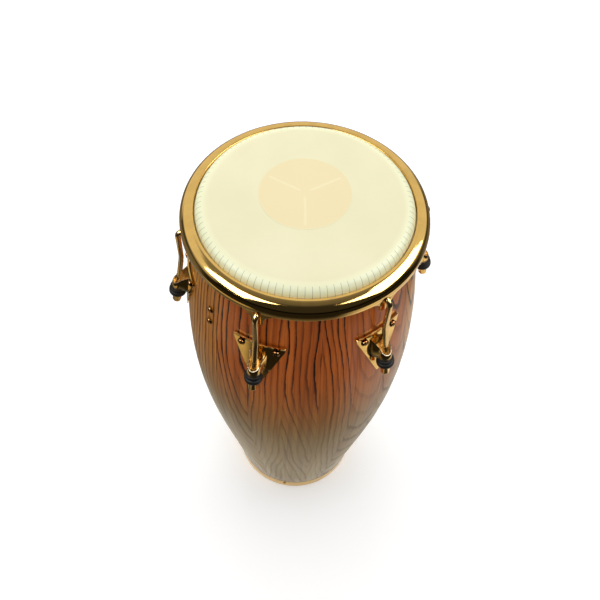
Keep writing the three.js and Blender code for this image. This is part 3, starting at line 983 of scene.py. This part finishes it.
def pocket():
    """A pocket open at the top. Its floor is the seat, with a hole for the rod."""
    outer = pocket_path(POCKET_NOSE, POCKET_HALF)
    inner = pocket_path(POCKET_NOSE - 1.7, POCKET_HALF - 1.8)
    surface = Surface()
    rows = []
    for (xo, yo), (xi, yi) in zip(outer, inner):
        top_out, top_in = pocket_top(xo), pocket_top(xi)
        middle = ((xo + xi) / 2, (yo + yi) / 2, (top_out + top_in) / 2 + 0.35)
        outside = [(xo, yo, 0.4), (xo, yo, 3), (xo, yo, top_out - 0.8)]
        outside.append((0.85 * xo + 0.15 * xi, 0.85 * yo + 0.15 * yi, top_out - 0.1))
        inside_wall = [(0.15 * xo + 0.85 * xi, 0.15 * yo + 0.85 * yi, top_in - 0.1)]
        inside_wall += [(xi, yi, top_in - 0.8), (xi, yi, SEAT), (xi, yi, 0.4)]
        rows.append(outside + [middle] + inside_wall)
    unpolished = [float(j >= len(outside)) for j in range(len(rows[0]))]
    surface.grid(rows, ring=True, pocket=[unpolished] * len(rows))
    hole = arc((0, 0), SEAT_HOLE, 0, 345, 23)
    outline = rounded(outer, 0.8, 2)
    seat = sheet(outline, [hole], 3.0, lambda x, y: (x, y, SEAT), lambda x, y: (x, y, 0))
    seat.values["pocket"] = {i: 1.0 for i in range(len(seat.points))}
    return surface.join(seat)


def thread(angle, height):
    """How deep the thread is cut at an angle round the rod and a height along it."""
    phase = (height / THREAD_PITCH - angle / (2 * math.pi)) % 1
    return THREAD_DEPTH * abs(2 * phase - 1)


def hook():
    """A threaded rod that straightens below the rim into a flatter bar and curls through the ear."""
    columns = 20
    around = [2 * math.pi * j / columns for j in range(columns)]

    def along(w):
        return (SEAT_R - w * math.sin(LEAN), SEAT_Z + w * math.cos(LEAN))

    stations = []
    up_rod = (-math.sin(LEAN), math.cos(LEAN))
    step = THREAD_PITCH / 5
    rows = int((THREADED_TO + ROD_END) / step)
    tip = [(0.01 * math.cos(a), 0.01 * math.sin(a)) for a in around]
    stations.append((along(-ROD_END), up_rod, tip))
    for i in range(rows + 1):
        w = -ROD_END + i * step
        ease = min(1, (w + ROD_END) / 1.2)
        section = []
        for a in around:
            r = (ROD_R - 0.05 - 0.9 * (1 - ease)) - thread(a, w) * ease
            section.append((r * math.cos(a), r * math.sin(a)))
        stations.append((along(w), up_rod, section))

    def bar(flat, size=1.0):
        power = 1 - 0.42 * flat
        section = []
        for a in around:
            c, s = math.cos(a), math.sin(a)
            out = math.copysign(abs(c) ** power, c) * (ROD_R - 0.35 * flat)
            across = math.copysign(abs(s) ** power, s) * (ROD_R + 0.35 * flat)
            section.append((out * size, across * size))
        return section

    bend = (HOOK_BEND_Z - SEAT_Z) / math.cos(LEAN)
    for w in (THREADED_TO + 1, THREADED_TO + 3, THREADED_TO + 8, bend - 12):
        stations.append((along(w), up_rod, bar(min(1, max(0, (w - THREADED_TO - 1) / 7)))))
    for i in range(7):
        t = i / 6
        tilt = LEAN * (1 - t)
        radius = HOOK_BEND / math.tan(LEAN / 2)
        x = HOOK_R + radius * (1 - math.cos(tilt))
        z = HOOK_BEND_Z + HOOK_BEND - radius * math.sin(tilt)
        stations.append(((x, z), (-math.sin(tilt), math.cos(tilt)), bar(1)))
    for i in range(1, 6):
        t = i / 5
        height = HOOK_BEND_Z + HOOK_BEND + (CURL_Z - HOOK_BEND_Z - HOOK_BEND) * t
        stations.append(((HOOK_R, height), (0, 1), bar(1 - t)))
    for i in range(1, 15):
        a = math.radians(HOOK_TURN * i / 14)
        spot = (HOOK_R - HOOK_CURL + HOOK_CURL * math.cos(a), CURL_Z + HOOK_CURL * math.sin(a))
        stations.append((spot, (-math.sin(a), math.cos(a)), bar(0)))
    end, direction, _ = stations[-1]
    for i, size in ((1, 0.95), (2, 0.8), (3, 0.5), (3.3, 0.003)):
        reach = 0.55 * i
        spot = (end[0] + direction[0] * reach, end[1] + direction[1] * reach)
        stations.append((spot, direction, bar(0, size)))
    return swept(stations)


def nut():
    """A long six-sided nut with a collar under the seat and turned ends."""
    facets = 48
    low, high = -NUT_END, -GAP
    angles = [2 * math.pi * j / facets for j in range(facets)]
    six_sided = [(low, 4.9), (low + 0.3, 5.3), (low + 1.5, 6.2), (low + 2.2, 9), (high - 3.0, 9)]
    collar = [
        (NUT_COLLAR - 0.3, high - 2.6),
        (NUT_COLLAR, high - 2.2),
        (NUT_COLLAR, high - 0.4),
        (NUT_COLLAR - 0.4, high),
    ]
    bore = [(NUT_BORE + 0.4, high), (NUT_BORE, high - 0.4)]
    bore += [(NUT_BORE, low + 0.5), (NUT_BORE + 0.25, low)]
    rows = [[(min(limit, flats(NUT_FLATS / 2, a)), w) for a in angles] for w, limit in six_sided]
    rows += [[point] * facets for point in collar + bore]
    surface = Surface()
    surface.grid(turned_rows(rows, angles), ring=True, loop=True)
    return surface.placed(ROD_FRAME)


def bumper():
    """Two rubber rings with a groove between, and a tab that rests on the plate."""
    low, high = -BUMPER_LOW, -GAP
    groove, upper = BUMPER_R - 2, BUMPER_R - 1.1
    section = [
        (BUMPER_BORE, low),
        (BUMPER_R - 0.4, low),
        (BUMPER_R, low + 2.5),
        (BUMPER_R, low + 6.6),
        (groove, low + 7.6),
        (groove, low + 8.8),
        (upper, low + 9.8),
        (upper, high),
        (BUMPER_BORE, high),
    ]
    surface = turned(rounded(section, 1.5, 4), 64)
    surface.points = [(max(x, -BUMPER_FLAT), y, z) for x, y, z in surface.points]
    tab = rounded([(-8, -3.6), (-13.0, -3.0), (-13.0, 3.0), (-8, 3.6)], 0.8, 3)
    rows = []
    for rise, size in ((1.5, 0.001), (1.5, 0.96), (2.2, 1), (5.8, 1), (6.5, 0.96), (6.5, 0.001)):
        rows.append([(x * size + 8 * (size - 1), y * size, low + rise) for x, y in tab])
    surface.grid(rows, ring=True)
    return surface.placed(ROD_FRAME)


lug_meshes = [
    ("side_plate", side_plate().mesh("side_plate"), gold, "gold_metal", 0.45),
    ("hook", hook().mesh("hook"), hook_gold, "gold_metal", 0),
    ("nut", nut().mesh("nut"), gold, "gold_metal", 0),
    ("bumper", bumper().mesh("bumper"), rubber, "bumper_rubber", 0),
]
for i, turn in enumerate(lug_headings, 1):
    for kind, mesh, look, slot, bevel in lug_meshes:
        node = f"{kind}_{i}"
        body = node if kind in ("hook", "nut") else "root"
        piece(f"{kind}_piece_{i}", mesh, look, body, slot, [node], turn, bevel)
    for side, share in (("left", -1), ("right", 1)):
        wall = on_wall(shell_radius(BOLT_Z) * MM, BOLT_Z * MM, -shell_slope(BOLT_Z))
        place = turn @ Matrix.Rotation(math.radians(share * BOLT_ANGLE), 4, "Z") @ wall
        node = f"plate_bolt_{i}_{side}"
        piece(f"plate_screw_{i}_{side}", plate_screw, dark_gold, "root", "dark_gold", [node], place)

# ---- CAD nodes that stay: the steel inside the shell and the head's hoop ----
inside_nodes = [f"backing_plate_{i + 1}" for i in range(LUGS)] + ["brace_plate", "flesh_hoop"]
for name in inside_nodes:
    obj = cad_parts[name]
    obj.data.materials.clear()
    obj.data.materials.append(zinc)
    break_edges(obj, 0.4, 2)


# ---- Studio, in metres ----
FLOOR_HALF = 4.0
CLOTH_REACHES = [0.125, 0.16, 0.2, 0.25, 0.32, 0.4, 0.55, 0.75, 1.0, 2.0, 4.0, 6.0]
CLOTH_HEIGHT = 2  # millimetres


def floor():
    steps = 8
    spread = [-FLOOR_HALF + 2 * FLOOR_HALF * i / steps for i in range(steps + 1)]
    surface = Surface()
    surface.grid([[(x / MM, y / MM, 0) for x in spread] for y in spread])
    mesh = surface.mesh("studio_floor")
    mesh.materials.append(floor_look())
    obj = bpy.data.objects.new("studio_floor", mesh)
    bpy.context.scene.collection.objects.link(obj)
    obj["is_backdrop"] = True


def studio_world():
    """A pale room, dark in front, dim overhead and dim low on its walls, except behind."""
    world = bpy.data.worlds.new("studio")
    world.use_nodes = True
    nodes, links = world.node_tree.nodes, world.node_tree.links

    def node(kind, inputs, **settings):
        made = nodes.new(kind)
        for key, value in settings.items():
            setattr(made, key, value)
        for key, value in inputs.items():
            if isinstance(value, bpy.types.NodeSocket):
                links.new(value, made.inputs[key])
            else:
                made.inputs[key].default_value = value
        return made.outputs[0]

    def blend(value, low, high, a, b):
        inputs = {"Value": value, "From Min": low, "From Max": high, "To Min": a, "To Max": b}
        return node("ShaderNodeMapRange", inputs, interpolation_type="SMOOTHSTEP")

    direction = nodes.new("ShaderNodeTexCoord").outputs["Generated"]
    split = nodes.new("ShaderNodeSeparateXYZ")
    links.new(direction, split.inputs[0])
    _, y, z = split.outputs
    front = blend(y, 0.02, -0.25, 0.74, 0.03)
    overhead = blend(y, -0.45, 0.4, 0.03, 0.22)
    walls = blend(z, 0.775, 0.84, front, overhead)
    above = blend(z, 0.06, 0.3, 0.08, 1.0)
    behind = blend(y, 0.6, 0.8, 0.0, 1.0)
    skirting = node("ShaderNodeMath", {0: above, 1: behind}, operation="MAXIMUM")
    strength = node("ShaderNodeMath", {0: walls, 1: skirting}, operation="MULTIPLY")
    links.new(strength, nodes["Background"].inputs["Strength"])
    nodes["Background"].inputs["Color"].default_value = (1, 1, 1, 1)
    bpy.context.scene.world = world


def softbox(name, azimuth, elevation, distance, size, power, mirrored):
    """A panel that faces the drum's upper half. It is either mirrored by gloss or lights the rest."""
    data = bpy.data.lights.new(name, "AREA")
    data.shape, data.size, data.size_y = "RECTANGLE", *size
    data.energy = power
    obj = bpy.data.objects.new(name, data)
    a, e = math.radians(azimuth), math.radians(elevation)
    target = Vector((0, 0, 0.6))
    away = Vector((math.sin(a) * math.cos(e), -math.cos(a) * math.cos(e), math.sin(e)))
    obj.location = target + away * distance
    obj.rotation_euler = away.to_track_quat("Z", "Y").to_euler()
    obj.visible_diffuse, obj.visible_glossy = not mirrored, mirrored
    bpy.context.scene.collection.objects.link(obj)


def fill_light(name, elevation, power, softness):
    """Even light from the front at an elevation, in degrees. Gloss doesn't mirror it."""
    data = bpy.data.lights.new(name, "SUN")
    data.energy, data.angle = power, math.radians(softness)
    obj = bpy.data.objects.new(name, data)
    obj.location = (0, -1, 3)
    obj.rotation_euler = (math.radians(90 - elevation), 0, 0)
    obj.visible_glossy = False
    bpy.context.scene.collection.objects.link(obj)


def dark_card():
    """A cloth on the floor that darkens away from the drum, most of all in front. Only gloss sees it."""
    columns = 96
    angles = [2 * math.pi * i / columns for i in range(columns)]
    rows = []
    for reach in CLOTH_REACHES:
        r = reach / MM
        rows.append([(r * math.cos(a), r * math.sin(a), CLOTH_HEIGHT) for a in angles])
    surface = Surface()
    surface.grid(rows, ring=True)
    mesh = surface.mesh("dark_card")
    mesh.materials.append(cloth_look())
    obj = bpy.data.objects.new("dark_card", mesh)
    bpy.context.scene.collection.objects.link(obj)
    obj.visible_camera = obj.visible_diffuse = obj.visible_shadow = False
    obj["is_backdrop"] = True


def camera():
    data = bpy.data.cameras.new("camera")
    data.lens, data.sensor_width, data.sensor_fit = CAMERA_LENS, 36.0, "HORIZONTAL"
    obj = bpy.data.objects.new("camera", data)
    around = Matrix.Rotation(math.radians(CAMERA_AZIMUTH), 4, "Z")
    place = around @ Matrix.Translation((0, -CAMERA_REACH, CAMERA_HEIGHT))
    aim = Matrix.Rotation(math.radians(-CAMERA_YAW), 4, "Z")
    tip = Matrix.Rotation(math.radians(90 - CAMERA_PITCH), 4, "X")
    roll = Matrix.Rotation(math.radians(CAMERA_ROLL), 4, "Z")
    obj.matrix_world = place @ aim @ tip @ roll
    bpy.context.scene.collection.objects.link(obj)
    bpy.context.scene.camera = obj


floor()
dark_card()
studio_world()
softbox("left_softbox", -72, 47, 1.7, (1.1, 1.3), 30, True)
softbox("right_softbox", 76, 47, 1.7, (1.5, 1.3), 38, True)
softbox("back_softbox", 180, 58, 1.65, (1.0, 1.0), 5, False)
fill_light("ceiling", 90, 1.8, 90)
fill_light("front_fill", 35, 0.5, 70)
camera()
bpy.context.scene.view_settings.view_transform = "Standard"

[[list(corner) for corner in box] for box in (cad_bounds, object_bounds())]
